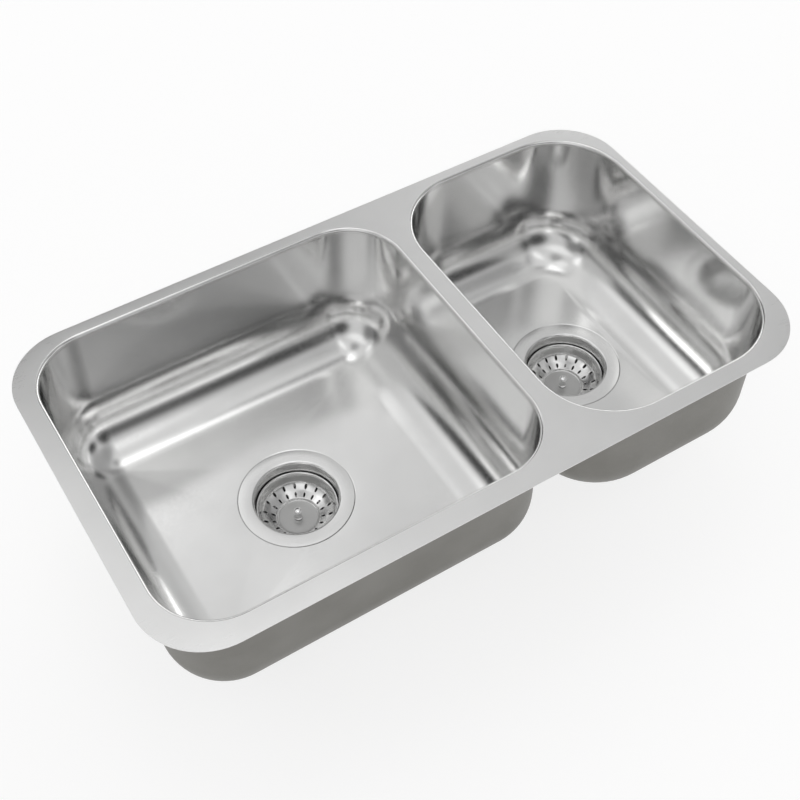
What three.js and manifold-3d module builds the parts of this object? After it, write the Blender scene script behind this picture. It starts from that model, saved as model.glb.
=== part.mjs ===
// Double bowl kitchen sink of pressed stainless steel, with a basket strainer in each bowl.
// Millimetres, +Z up, +X towards the small bowl, +Y towards the back. The origin is on the deck's
// flat top face, in the middle of the divider between the two bowls.
import * as THREE from "three";
import { mergeVertices } from "three/addons/utils/BufferGeometryUtils.js";
import Module from "manifold-3d";

const wasm = await Module();
wasm.setup();

// ---------------------------------------------------------------- driving dimensions
const seat = 0.3; // gap left where two pieces touch
const overcut = 0.05; // how far a cutting solid stands past the face it opens

// Deck: one flat plate with a lip rolled down round each opening.
const deckWidth = 381; // front to back
const deckCorner = 65;
const deckSheet = 1.2;
const leftLedge = 21.6;
const divider = 22.6;
const rightLedge = 11.8;
const lipRadius = 3; // outside of the rolled lip
const lipDepth = 5; // from the top face down to the seam with the bowl

// Bowls: seen from above each is a rounded rectangle, measured at the inside of its wall.
const bowlSheet = 1;
const bowlDepth = 154; // top face down to the floor
const bowlFillet = 50; // between wall and floor
const largeBowl = { width: 376, length: 342.5, corner: 59, frontLedge: 23.5 };
const smallBowl = { width: 244, length: 348, corner: 75, frontLedge: 20 };

// Drain recess pressed into each floor, with the standard 3 1/2 inch hole in it.
const drainHole = 44.5; // radius
const recessDepth = 3.1;
const recessSlope = 1.2; // how much wider the recess is at the floor than at its bottom
const recessClearance = 0.8; // round the strainer flange

// Strainer body: flange, threaded neck, tapering cup and threaded outlet. All its depths are
// measured down from the top of the flange.
const flangeRadius = 57.5;
const flangeSheet = 1.5;
const neckWall = 1.7;
const neckDepth = 27; // where the taper starts
const mouthRoll = 2.5; // rounding from the flange into the neck
const seatRadius = 29; // flat ring that the stopper closes on
const cupFloor = 2;
const outletInner = 19.5;
const outletWall = 4.4;
const outletLength = 22;
const spiderDrop = 14; // from the stopper's seat down to the cross bars that guide the stem
const spiderHeight = 3;
const spiderBar = 4;
const spiderBoss = 8; // radius

// Rings and nuts below the floor.
const sealThickness = 1;
const gasketThickness = 3;
const frictionThickness = 1;
const ringOuter = 56;
const threadClearance = 0.3;
const locknutOuter = 54;
const locknutHeight = 11;
const locknutWeb = 3; // thickness of the flat part that presses on the friction ring
const locknutLugs = 4;
const lugWidth = 12;
const lugReach = 5;
const tailWasher = 2;
const couplingWall = 7.8;
const couplingGrip = 16; // how far the nut is screwed up the outlet
const couplingLip = 2;
const couplingMouth = 20.4; // radius of the opening for the tailpiece

// Basket, with its stopper, backing washer, knob and locating sleeve.
const basketSheet = 0.8;
const basketClearance = 1.5; // between the rim and the neck
const rimTop = 10;
const rimHeight = 1.8;
const rimWidth = 1.8;
const kneeRadius = 36.6; // where the wall turns into the perforated slope
const kneeDepth = 24;
const slopeRadius = 34.4;
const slopeDepth = 27.8;
const stepRadius = 22.8;
const stepDepth = 33.6;
const basketFloorRadius = 21.2;
const basketDepth = 36;
const slotsPerRow = 18;
const slotPhase = 7; // degrees from +X to the first slot
const slotWidth = 2.4;
const slotLength = 5;
const slotRows = [33.4, 25.4]; // radius of the middle of each row
const stopperRadius = 27;
const stopperThickness = 4;
const backingRadius = 14;
const backingThickness = 1;
const stemRadius = 2.6;
const stemLength = 8; // below the backing washer
const knobRadius = 4.2;
const knobHeight = 13;
const sleeveWall = 1.4;
const sleevePoint = 5; // how far the sleeve stands out below the cross bars

// Sound pads glued under the floors.
const padThickness = 2.5;
const padCorner = 8;
const padMargin = 6; // in from the edge of the flat floor
const padDrainGap = 10; // between a pad and the recess

// Facets
const cornerFacets = 7; // in a quarter turn of an outline
const filletFacets = 6;
const lipFacets = 2;
const roundFacets = 28;
const smallFacets = 16;
const basketFacets = 36;

// ---------------------------------------------------------------- materials
const steel = (color, roughness) =>
  new THREE.MeshStandardMaterial({ color, roughness, metalness: 1 });
const soft = (color, roughness) =>
  new THREE.MeshStandardMaterial({ color, roughness, metalness: 0 });

// ---------------------------------------------------------------- tools
// A closed geometry as a solid that can be joined and cut.
function solid(geometry) {
  const bare = geometry.clone();
  bare.deleteAttribute("normal");
  bare.deleteAttribute("uv");
  const merged = mergeVertices(bare, 1e-4);
  return new wasm.Manifold(
    new wasm.Mesh({
      numProp: 3,
      vertProperties: merged.attributes.position.array,
      triVerts: new Uint32Array(merged.index.array),
    }),
  );
}

// The mesh of a solid, ready for the scene.
function meshOf(name, shape, material) {
  const { vertProperties, triVerts } = shape.getMesh();
  const geometry = new THREE.BufferGeometry();
  geometry.setAttribute("position", new THREE.BufferAttribute(vertProperties, 3));
  geometry.setIndex(new THREE.BufferAttribute(triVerts, 1));
  geometry.computeVertexNormals();
  const mesh = new THREE.Mesh(geometry, material);
  mesh.name = name;
  return mesh;
}

// A rounded rectangle centred on the origin.
function roundedRectangle(width, length, radius) {
  const corners = [[1, 1], [-1, 1], [-1, -1], [1, -1]];
  const points = corners.flatMap(([sx, sy], quarter) =>
    Array.from({ length: cornerFacets + 1 }, (_, i) => {
      const angle = (quarter + i / cornerFacets) * (Math.PI / 2);
      return new THREE.Vector2(
        sx * (width / 2 - radius) + radius * Math.cos(angle),
        sy * (length / 2 - radius) + radius * Math.sin(angle),
      );
    }),
  );
  return new THREE.Shape(points);
}

// A profile of [radius, z] points turned about the Z axis, as a solid.
// A profile that leaves the axis or a point is closed back to where it began.
function turned(profile, facets) {
  const points = [...profile, profile[0]].map(([r, z]) => new THREE.Vector2(r, z));
  return solid(new THREE.LatheGeometry(points, facets).rotateX(Math.PI / 2));
}

// A flat ring with its top face at z = top.
const ring = (inner, outer, top, thickness, facets) =>
  turned([[inner, top - thickness], [outer, top - thickness], [outer, top], [inner, top]], facets);

// A disc with its top face at z = top.
const disc = (radius, top, thickness, facets) =>
  turned([[0, top - thickness], [radius, top - thickness], [radius, top], [0, top]], facets);

// A block from low to high, each [x, y, z].
function block(low, high) {
  const size = high.map((value, i) => value - low[i]);
  const middle = high.map((value, i) => (value + low[i]) / 2);
  return solid(new THREE.BoxGeometry(...size).translate(...middle));
}

// ---------------------------------------------------------------- layout
const deckLength = leftLedge + largeBowl.width + divider + smallBowl.width + rightLedge;
const deckMiddle = divider / 2 + smallBowl.width + rightLedge - deckLength / 2;
largeBowl.x = -(divider + largeBowl.width) / 2;
smallBowl.x = (divider + smallBowl.width) / 2;
for (const bowl of [largeBowl, smallBowl])
  bowl.y = -deckWidth / 2 + bowl.frontLedge + bowl.length / 2;

// ---------------------------------------------------------------- deck
// The way through the deck above a bowl: straight sides that flare out to a rolled lip at z = top.
function throat(bowl, grow, radius, top) {
  const outline = roundedRectangle(
    bowl.width + 2 * grow, bowl.length + 2 * grow, bowl.corner + grow);
  const straight = lipDepth + 2 * lipRadius;
  const geometry = new THREE.ExtrudeGeometry(outline, {
    depth: straight,
    bevelThickness: radius,
    bevelSize: -radius,
    bevelOffset: radius,
    bevelSegments: lipFacets,
  });
  return solid(geometry.translate(bowl.x, bowl.y, top - radius - straight));
}

function makeDeck() {
  const edge = deckSheet / 2;
  const plate = new THREE.ExtrudeGeometry(roundedRectangle(deckLength, deckWidth, deckCorner), {
    depth: deckSheet - 2 * edge + overcut,
    bevelThickness: edge - overcut / 2,
    bevelSize: edge,
    bevelOffset: -edge,
    bevelSegments: 2,
  });
  let deck = solid(plate.translate(deckMiddle, 0, -edge - overcut / 2));
  const above = block(
    [-deckLength, -deckWidth, -lipDepth], [deckLength, deckWidth, -deckSheet / 2]);
  for (const bowl of [largeBowl, smallBowl]) {
    const collar = throat(bowl, deckSheet, lipRadius - deckSheet, -deckSheet + overcut);
    deck = deck.add(collar.intersect(above));
  }
  for (const bowl of [largeBowl, smallBowl])
    deck = deck.subtract(throat(bowl, 0, lipRadius, overcut));
  return meshOf("deck_flange", deck, steel(0xd3d3d1, 0.34));
}

// ---------------------------------------------------------------- bowls
// A plug that fills a bowl, grown by `grow`: straight sides and a rounded edge round its floor.
function basin(bowl, grow) {
  const outline = roundedRectangle(
    bowl.width - 2 * bowlFillet, bowl.length - 2 * bowlFillet, bowl.corner - bowlFillet);
  const rounding = bowlFillet + grow;
  const geometry = new THREE.ExtrudeGeometry(outline, {
    depth: bowlDepth - bowlFillet,
    bevelThickness: rounding,
    bevelSize: rounding,
    bevelSegments: filletFacets,
  });
  return solid(geometry.translate(0, 0, bowlFillet - bowlDepth));
}

// The recess round the drain hole, grown by `grow`, opening upwards at the floor.
function recess(grow, top) {
  const bottom = -bowlDepth - recessDepth - grow;
  const radius = flangeRadius + recessClearance + grow;
  return turned(
    [[0, bottom], [radius, bottom], [radius + recessSlope, -bowlDepth - grow],
      [radius + recessSlope, top], [0, top]],
    roundFacets,
  );
}

function makeBowl(name, bowl) {
  const top = -lipDepth - seat;
  const below = block([-bowl.width, -bowl.length, -2 * bowlDepth], [bowl.width, bowl.length, top]);
  const shell = basin(bowl, bowlSheet)
    .intersect(below)
    .add(recess(bowlSheet, -bowlDepth))
    .subtract(basin(bowl, 0))
    .subtract(recess(0, -bowlDepth + overcut))
    .subtract(disc(drainHole, -bowlDepth, 2 * recessDepth, roundFacets));
  const mesh = meshOf(name, shell, steel(0xc4c4c1, 0.26));
  mesh.position.set(bowl.x, bowl.y, 0);
  return mesh;
}

// Two sound pads under a floor, one on each side of the drain along `along`.
function makePads(name, bowl, along) {
  const flat = {
    x: bowl.width - 2 * bowlFillet - 2 * padMargin,
    y: bowl.length - 2 * bowlFillet - 2 * padMargin,
  };
  const drain = flangeRadius + recessClearance + bowlSheet + recessSlope + padDrainGap;
  const across = along === "x" ? "y" : "x";
  const size = { [along]: flat[along] / 2 - drain, [across]: flat[across] };
  return [-1, 1].map((side) => {
    const pad = new THREE.ExtrudeGeometry(roundedRectangle(size.x, size.y, padCorner), {
      depth: padThickness,
      bevelEnabled: false,
    });
    const mesh = meshOf(`${name}_${side < 0 ? "a" : "b"}`, solid(pad), soft(0x34363a, 0.85));
    const place = { x: bowl.x, y: bowl.y };
    place[along] += side * (drain + size[along] / 2);
    mesh.position.set(place.x, place.y, -bowlDepth - bowlSheet - seat - padThickness);
    return mesh;
  });
}

// ---------------------------------------------------------------- strainer, below the flange
// All heights of a strainer are measured down from the top of its flange, at z = 0.
const neckOuter = drainHole - 2 * threadClearance;
const neckInner = neckOuter - neckWall;
const outletOuter = outletInner + outletWall;
const seatDepth = basketDepth + basketSheet + stopperThickness + 2 * seat;
const outletEnd = seatDepth + cupFloor + outletLength;
const spiderDepth = seatDepth + spiderDrop;
const recessFloor = -recessDepth;
const gasketTop = recessFloor - bowlSheet - seat;
const frictionTop = gasketTop - gasketThickness - seat;
const locknutTop = frictionTop - frictionThickness - seat;
const tailWasherTop = -outletEnd - seat;
const couplingBottom = tailWasherTop - tailWasher - seat - couplingLip;
const couplingTop = couplingGrip - outletEnd;
const couplingOuter = outletOuter + couplingWall;

// Two cross bars and a boss that guide the stem, standing into the outlet's wall.
function spider() {
  const low = -spiderDepth - spiderHeight;
  const reach = outletInner + outletWall / 2;
  return block([-reach, -spiderBar / 2, low], [reach, spiderBar / 2, -spiderDepth])
    .add(block([-spiderBar / 2, -reach, low], [spiderBar / 2, reach, -spiderDepth]))
    .add(disc(spiderBoss, -spiderDepth, spiderHeight, smallFacets))
    .subtract(
      disc(sleeveRadius + seat, -spiderDepth + overcut, spiderHeight + 2 * overcut, smallFacets));
}

function makeBody(name) {
  const roll = Array.from({ length: lipFacets + 1 }, (_, i) => {
    const angle = (i / lipFacets) * (Math.PI / 2);
    return [neckInner + mouthRoll * (1 - Math.sin(angle)), -mouthRoll * (1 - Math.cos(angle))];
  });
  const shell = turned(
    [
      ...roll,
      [neckInner, -neckDepth],
      [seatRadius, -seatDepth],
      [outletInner + 1, -seatDepth],
      [outletInner, -seatDepth - 1],
      [outletInner, -outletEnd],
      [outletOuter, -outletEnd],
      [outletOuter, -seatDepth - cupFloor],
      [seatRadius + cupFloor, -seatDepth - cupFloor],
      [neckOuter, -neckDepth - cupFloor / 2],
      [neckOuter, -flangeSheet],
      [flangeRadius - flangeSheet / 2, -flangeSheet],
      [flangeRadius, -flangeSheet / 2],
      [flangeRadius - flangeSheet / 2, 0],
    ],
    roundFacets,
  );
  return meshOf(name, shell.add(spider()), steel(0xd6d6d4, 0.22));
}

function makeLocknut(name) {
  const inner = neckOuter + threadClearance;
  const bottom = locknutTop - locknutHeight;
  let nut = turned(
    [[inner, bottom], [inner + locknutWeb, bottom], [inner + locknutWeb, locknutTop - locknutWeb],
      [locknutOuter, locknutTop - locknutWeb], [locknutOuter, locknutTop], [inner, locknutTop]],
    roundFacets,
  );
  const lug = block(
    [inner + locknutWeb / 2, -lugWidth / 2, bottom + lugReach / 2],
    [locknutOuter + lugReach, lugWidth / 2, locknutTop - locknutWeb / 2],
  );
  for (let i = 0; i < locknutLugs; i++) nut = nut.add(lug.rotate([0, 0, (360 / locknutLugs) * i]));
  return meshOf(name, nut, steel(0xb4b2ab, 0.45));
}

function makeCouplingNut(name) {
  const outside = solid(
    new THREE.CylinderGeometry(couplingOuter, couplingOuter, couplingTop - couplingBottom, 8)
      .rotateX(Math.PI / 2)
      .translate(0, 0, (couplingBottom + couplingTop) / 2),
  );
  const bore = disc(
    outletOuter + threadClearance, couplingTop + overcut,
    couplingTop + overcut - couplingBottom - couplingLip, roundFacets);
  const mouth = disc(couplingMouth, couplingTop, 2 * outletEnd, roundFacets);
  return meshOf(name, outside.subtract(bore).subtract(mouth), steel(0xc9c9c6, 0.3));
}

// The basket unit hangs in the cup: basket, stopper, backing washer, and the knob's stem with a
// soft sleeve on its end that clicks into the middle of the cross bars.
const rimRadius = neckInner - basketClearance;
const stopperTop = -basketDepth - basketSheet - seat;
const backingTop = stopperTop - stopperThickness - seat;
const sleeveTop = backingTop - backingThickness - seat;
const stemEnd = sleeveTop - stemLength;
const stemHole = stemRadius + seat;
const sleeveRadius = stemHole + sleeveWall;
const sleeveEnd = -spiderDepth - spiderHeight - sleevePoint;

// One slot of the basket: an upright six-sided cutter, long way outwards.
function slotCutter(radius) {
  const half = slotWidth / 2;
  const reach = slotLength / 2;
  const outline = new THREE.Shape([
    new THREE.Vector2(reach, 0), new THREE.Vector2(reach - half / 2, half),
    new THREE.Vector2(half / 2 - reach, half), new THREE.Vector2(-reach, 0),
    new THREE.Vector2(half / 2 - reach, -half), new THREE.Vector2(reach - half / 2, -half),
  ]);
  const depth = basketDepth - kneeDepth + basketSheet;
  const cutter = new THREE.ExtrudeGeometry(outline, { depth, bevelEnabled: false });
  return solid(cutter.translate(radius, 0, -basketDepth - basketSheet));
}

function makeBasket(name) {
  const sheet = basketSheet;
  let basket = turned(
    [
      [stemHole, -basketDepth],
      [stemHole, -basketDepth - sheet],
      [basketFloorRadius + sheet / 2, -basketDepth - sheet],
      [stepRadius + sheet, -stepDepth - sheet],
      [slopeRadius + sheet / 2, -slopeDepth - sheet],
      [kneeRadius + sheet, -kneeDepth - sheet / 2],
      [rimRadius - rimWidth + sheet, -rimTop - rimHeight],
      [rimRadius, -rimTop - rimHeight],
      [rimRadius, -rimTop],
      [rimRadius - rimWidth, -rimTop],
      [kneeRadius, -kneeDepth],
      [slopeRadius, -slopeDepth],
      [stepRadius, -stepDepth],
      [basketFloorRadius, -basketDepth],
    ],
    basketFacets,
  );
  for (const radius of slotRows) {
    const cutter = slotCutter(radius);
    for (let i = 0; i < slotsPerRow; i++) {
      const angle = slotPhase + (360 / slotsPerRow) * i;
      basket = basket.subtract(cutter.rotate([0, 0, angle]));
    }
  }
  return meshOf(name, basket, steel(0xcfcfcd, 0.28));
}

// A turned knob like a small spool, in one piece with its stem.
function makeKnob(name) {
  const floor = -basketDepth + seat;
  const waist = knobRadius * 0.68;
  const shape = turned(
    [
      [0, stemEnd],
      [stemRadius, stemEnd],
      [stemRadius, floor],
      [knobRadius, floor],
      [knobRadius, floor + knobHeight * 0.14],
      [waist, floor + knobHeight * 0.3],
      [waist, floor + knobHeight * 0.6],
      [knobRadius, floor + knobHeight * 0.74],
      [knobRadius, floor + knobHeight * 0.9],
      [knobRadius * 0.7, floor + knobHeight],
      [0, floor + knobHeight],
    ],
    smallFacets,
  );
  return meshOf(name, shape, steel(0xdededc, 0.16));
}

function makeSleeve(name) {
  const shape = turned(
    [
      [stemHole, sleeveTop],
      [stemHole, stemEnd - seat],
      [0, stemEnd - seat],
      [0, sleeveEnd],
      [sleeveRadius / 2, sleeveEnd],
      [sleeveRadius, sleeveEnd + sleeveRadius / 2],
      [sleeveRadius, sleeveTop],
    ],
    smallFacets,
  );
  return meshOf(name, shape, soft(0x8c8f90, 0.5));
}

function makeStrainer(side, bowl) {
  const group = new THREE.Group();
  group.add(
    makeBody(`${side}_strainer_body`),
    meshOf(
      `${side}_flange_seal`,
      ring(neckOuter + seat, ringOuter, recessFloor + seat + sealThickness, sealThickness, roundFacets),
      soft(0xd9d7cf, 0.8),
    ),
    meshOf(
      `${side}_floor_gasket`,
      ring(neckOuter + seat, ringOuter, gasketTop, gasketThickness, roundFacets),
      soft(0x232325, 0.8),
    ),
    meshOf(
      `${side}_friction_ring`,
      ring(neckOuter + seat, ringOuter, frictionTop, frictionThickness, roundFacets),
      soft(0xb59a72, 0.9),
    ),
    makeLocknut(`${side}_locknut`),
    meshOf(
      `${side}_tail_washer`,
      ring(couplingMouth, outletOuter, tailWasherTop, tailWasher, smallFacets),
      soft(0xe9e8e2, 0.6),
    ),
    makeCouplingNut(`${side}_coupling_nut`),
    makeBasket(`${side}_basket`),
    meshOf(
      `${side}_stopper`,
      ring(stemHole, stopperRadius, stopperTop, stopperThickness, roundFacets),
      soft(0x1d1d1f, 0.7),
    ),
    meshOf(
      `${side}_backing_washer`,
      ring(stemHole, backingRadius, backingTop, backingThickness, smallFacets),
      steel(0xbdbdba, 0.35),
    ),
    makeKnob(`${side}_knob_stem`),
    makeSleeve(`${side}_stem_sleeve`),
  );
  group.position.set(bowl.x, bowl.y, -bowlDepth);
  return group;
}

// ---------------------------------------------------------------- the sink
const sink = new THREE.Group();
sink.add(
  makeDeck(),
  makeBowl("large_bowl", largeBowl),
  makeBowl("small_bowl", smallBowl),
  ...makePads("large_sound_pad", largeBowl, "x"),
  ...makePads("small_sound_pad", smallBowl, "y"),
  makeStrainer("large", largeBowl),
  makeStrainer("small", smallBowl),
);

export default sink;
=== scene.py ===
# %% [markdown]
# # A double bowl kitchen sink in pressed stainless steel
#
# The sink is a flat deck with two deep bowls hanging from it, and a basket strainer in each
# bowl's floor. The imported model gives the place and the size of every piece. This script gives
# each piece its real surface: rolled lips, drawn corners, threads, slots and the finish of the
# steel. The frame is in metres, and MM turns a workshop drawing's millimetres into metres. The
# origin is on the deck's top face, in the middle of the divider, with +X towards the small
# bowl, +Y towards the back and +Z up.

# %% Load the frame
import math

import bmesh
import bpy
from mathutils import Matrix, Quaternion, Vector


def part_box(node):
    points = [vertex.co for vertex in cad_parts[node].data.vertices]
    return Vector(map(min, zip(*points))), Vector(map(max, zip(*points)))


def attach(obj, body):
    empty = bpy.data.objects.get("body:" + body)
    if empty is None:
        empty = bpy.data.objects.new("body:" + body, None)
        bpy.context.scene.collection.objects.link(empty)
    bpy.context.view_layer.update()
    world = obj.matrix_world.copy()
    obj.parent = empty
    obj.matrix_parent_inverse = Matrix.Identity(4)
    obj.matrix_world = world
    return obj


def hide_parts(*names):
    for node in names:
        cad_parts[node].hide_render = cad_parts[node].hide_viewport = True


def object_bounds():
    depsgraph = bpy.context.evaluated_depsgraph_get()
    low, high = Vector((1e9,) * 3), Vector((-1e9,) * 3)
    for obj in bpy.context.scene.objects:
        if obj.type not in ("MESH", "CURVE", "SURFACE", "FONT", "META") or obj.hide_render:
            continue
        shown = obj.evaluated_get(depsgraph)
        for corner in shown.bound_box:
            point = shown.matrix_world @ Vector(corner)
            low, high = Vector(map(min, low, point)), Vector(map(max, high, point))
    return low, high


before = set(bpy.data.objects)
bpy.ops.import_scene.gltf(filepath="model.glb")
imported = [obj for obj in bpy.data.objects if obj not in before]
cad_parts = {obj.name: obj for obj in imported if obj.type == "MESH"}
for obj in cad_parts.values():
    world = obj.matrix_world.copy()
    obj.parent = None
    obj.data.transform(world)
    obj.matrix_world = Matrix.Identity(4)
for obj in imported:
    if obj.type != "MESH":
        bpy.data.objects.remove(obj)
cad_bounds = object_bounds()
MM = 0.001
SIDES = ("large", "small")

# %% [markdown]
# ## The camera
#
# A product photographer stands at the left front corner and looks down into the bowls through
# a fairly long lens, so that the far edge is only a little shorter than the near one. The
# camera could be placed by eye. Here it is given the way a tripod is set: which way it faces,
# how steeply it looks down, how far away it is, and the point it looks at.

# %% Camera
CAMERA_AZIMUTH = math.radians(32.09)  # 0 looks along +Y
CAMERA_ELEVATION = math.radians(51.23)
CAMERA_ROLL = math.radians(0.30)
CAMERA_DISTANCE = 1.1529
CAMERA_TARGET = Vector((-0.1115, -0.0493, 0.0))
CAMERA_LENS = 57.37  # millimetres
CAMERA_SENSOR = 36.0

scene = bpy.context.scene
camera = bpy.data.objects.new("camera", bpy.data.cameras.new("camera"))
scene.collection.objects.link(camera)
scene.camera = camera
camera.data.lens = CAMERA_LENS
camera.data.sensor_width = CAMERA_SENSOR
level = math.cos(CAMERA_ELEVATION)
looking = Vector((
    math.sin(CAMERA_AZIMUTH) * level,
    math.cos(CAMERA_AZIMUTH) * level,
    -math.sin(CAMERA_ELEVATION),
))
camera.location = CAMERA_TARGET - CAMERA_DISTANCE * looking
camera.rotation_mode = "QUATERNION"
camera.rotation_quaternion = (
    looking.to_track_quat("-Z", "Y") @ Quaternion((0, 0, 1), CAMERA_ROLL)
)
print("camera at", [round(c, 3) for c in camera.location])

# %% [markdown]
# ## Studio
#
# Polished steel has hardly a colour of its own: it shows the room. So the room matters as much
# as the metal. This one is a sky that only depends on direction: white at the horizon, dimmer
# above it and a little brighter again overhead. Sheets of soft white, grey and black cloth
# hang in it. The white ones make the glints and the black ones the crisp dark lines along the
# fillets. A sky of one brightness would be simpler, but every wall would mirror the same white
# and the bowls would look flat.

# %% Node helpers


def link(tree, start, end):
    """Connects two sockets."""
    tree.links.new(start, end)


def remap(tree, value, low, high, to_low=0.0, to_high=1.0, kind="LINEAR"):
    """A value between low and high, moved to between to_low and to_high."""
    node = tree.nodes.new("ShaderNodeMapRange")
    node.interpolation_type = kind
    for name, number in zip(("From Min", "From Max", "To Min", "To Max"),
                            (low, high, to_low, to_high)):
        node.inputs[name].default_value = number
    link(tree, value, node.inputs["Value"])
    return node.outputs["Result"]


def sum_of(tree, operation, *values):
    """One sum (Math node) on sockets and plain numbers."""
    node = tree.nodes.new("ShaderNodeMath")
    node.operation = operation
    for socket, value in zip(node.inputs, values):
        if isinstance(value, (int, float)):
            socket.default_value = value
        else:
            link(tree, value, socket)
    return node.outputs[0]


def mix(tree, factor, first, second):
    """Two colours mixed by a factor. Each is a socket or a plain (r, g, b)."""
    node = tree.nodes.new("ShaderNodeMix")
    node.data_type = "RGBA"
    link(tree, factor, node.inputs["Factor"])
    for socket, colour in zip((node.inputs[6], node.inputs[7]), (first, second)):
        if isinstance(colour, tuple):
            socket.default_value = (*colour, 1)
        else:
            link(tree, colour, socket)
    return node.outputs[2]


# %% Sky
scene.view_settings.view_transform = "Standard"
SKY = (  # degrees above the horizon, brightness
    (0, 0.95), (13, 0.95), (20, 0.70), (30, 0.69), (40, 0.66), (50, 0.64), (60, 0.69),
    (70, 0.76), (90, 0.82),
)

world = bpy.data.worlds.new("studio_room")
scene.world = world
world.use_nodes = True
room = world.node_tree
direction = room.nodes.new("ShaderNodeSeparateXYZ")
link(room, room.nodes.new("ShaderNodeTexCoord").outputs["Generated"], direction.inputs[0])
rise = sum_of(room, "ARCSINE", direction.outputs["Z"])
rise = sum_of(room, "MULTIPLY", rise, math.degrees(1))
heading = sum_of(room, "ARCTAN2", direction.outputs["X"], direction.outputs["Y"])
heading = sum_of(room, "MULTIPLY", heading, math.degrees(1))  # 0 along +Y, 90 along +X
ramp = room.nodes.new("ShaderNodeValToRGB")
stops = ramp.color_ramp.elements
while len(stops) < len(SKY):
    stops.new(0.5)
for stop, (degrees, grey) in zip(stops, SKY):
    stop.position = degrees / 90
    stop.color = (grey, grey, grey, 1)
link(room, sum_of(room, "DIVIDE", rise, 90), ramp.inputs["Fac"])
sky = ramp.outputs["Color"]

# %% Cloths
CLOTHS = (  # heading, height, half width and half height in degrees, brightness
    (55.1, 20.0, 48.1, 4.0, 3.00),
    (239.1, 53.9, 36.8, 7.7, 1.04),
    (115.6, 55.1, 34.2, 11.4, 0.33),
    (154.9, 33.6, 16.1, 13.1, 0.05),
    (321.8, 50.2, 23.0, 19.0, 0.74),
    (188.0, 33.3, 20.8, 12.9, 0.06),
    (282.3, 27.9, 33.4, 9.2, 0.00),
    (70.7, 71.6, 24.4, 7.7, 0.35),
    (7.9, 39.8, 18.5, 10.8, 0.00),
    (24.3, 78.8, 33.0, 12.7, 1.58),
    (167.0, 67.9, 10.8, 12.4, 1.20),
    (3.0, 53.4, 20.1, 4.0, 1.33),
    (262.5, 34.8, 15.6, 13.3, 0.22),
    (320.4, 28.1, 20.6, 8.2, 0.05),
    (119.5, 26.7, 13.1, 7.4, 0.00),
    (299.6, 49.5, 11.6, 8.7, 1.40),
    (243.3, 74.5, 29.3, 9.4, 0.35),
    (85.6, 41.6, 33.8, 14.9, 0.38),
    (333.4, 24.5, 24.0, 5.9, 0.00),
)
CLOTH_EDGE = (1.5, 0.5)  # where a cloth begins and where it is full, in half sizes

for to, up, wide, tall, brightness in CLOTHS:
    across = sum_of(room, "SUBTRACT", heading, to)
    across = sum_of(room, "DIVIDE", sum_of(room, "WRAP", across, 180, -180), wide)
    above = sum_of(room, "DIVIDE", sum_of(room, "SUBTRACT", rise, up), tall)
    offset = room.nodes.new("ShaderNodeCombineXYZ")
    link(room, across, offset.inputs["X"])
    link(room, above, offset.inputs["Y"])
    reach = room.nodes.new("ShaderNodeVectorMath")
    reach.operation = "LENGTH"
    link(room, offset.outputs[0], reach.inputs[0])
    cover = remap(room, reach.outputs["Value"], *CLOTH_EDGE, kind="SMOOTHSTEP")
    sky = mix(room, cover, sky, (brightness,) * 3)
link(room, sky, room.nodes["Background"].inputs["Color"])

# %% [markdown]
# One small lamp overhead helps the room to lay a soft shadow on the floor. A lamp low at the
# side could brighten the outside of the large bowl, but it burns that wall to white when the
# sink is seen from the back, so there is none.

# %% Lamp
LAMP_PLACE = (-0.1, 0.3, 1.4)
LAMP_SIZE = 0.4
LAMP_POWER = 0.12

lamp = bpy.data.objects.new("overhead_lamp", bpy.data.lights.new("overhead_lamp", "AREA"))
scene.collection.objects.link(lamp)
lamp.data.shape = "SQUARE"
lamp.data.size = LAMP_SIZE
lamp.data.energy = LAMP_POWER
lamp.location = LAMP_PLACE  # a new lamp shines straight down

# %% [markdown]
# The floor is one wide disc just under the lowest nut. A white floor would throw so much light
# up at the sink that its shadow would be lost. This one is grey, and it glows only towards the
# camera and in mirrors, so that it looks white and keeps the shadow.

# %% Floor
FLOOR_RADIUS = 6.0
FLOOR_SIDES = 96
FLOOR_GAP = 0.5 * MM  # under the lowest nut
FLOOR_GLOW = 0.76
FLOOR_GREY = 0.34
FLOOR_ROUGHNESS = 0.9

bpy.ops.object.select_all(action="DESELECT")
bpy.ops.mesh.primitive_circle_add(
    vertices=FLOOR_SIDES, radius=FLOOR_RADIUS, fill_type="NGON",
    location=(0, 0, cad_bounds[0][2] - FLOOR_GAP),
)
floor = bpy.context.object
floor.name = "floor"
white_floor = bpy.data.materials.new("white_floor")
white_floor.use_nodes = True
tree = white_floor.node_tree
paper = tree.nodes["Principled BSDF"]
paper.inputs["Base Color"].default_value = (FLOOR_GREY, FLOOR_GREY, FLOOR_GREY, 1)
paper.inputs["Roughness"].default_value = FLOOR_ROUGHNESS
paper.inputs["Specular IOR Level"].default_value = 0.0
ray = tree.nodes.new("ShaderNodeLightPath").outputs
seen = sum_of(tree, "MAXIMUM", ray["Is Camera Ray"], ray["Is Glossy Ray"])
seen = sum_of(tree, "MAXIMUM", seen, ray["Is Transmission Ray"])
glow = tree.nodes.new("ShaderNodeEmission")
link(tree, sum_of(tree, "MULTIPLY", seen, FLOOR_GLOW), glow.inputs["Strength"])
total = tree.nodes.new("ShaderNodeAddShader")
link(tree, paper.outputs[0], total.inputs[0])
link(tree, glow.outputs[0], total.inputs[1])
link(tree, total.outputs[0], tree.nodes["Material Output"].inputs["Surface"])
floor.data.materials.append(white_floor)

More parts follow.
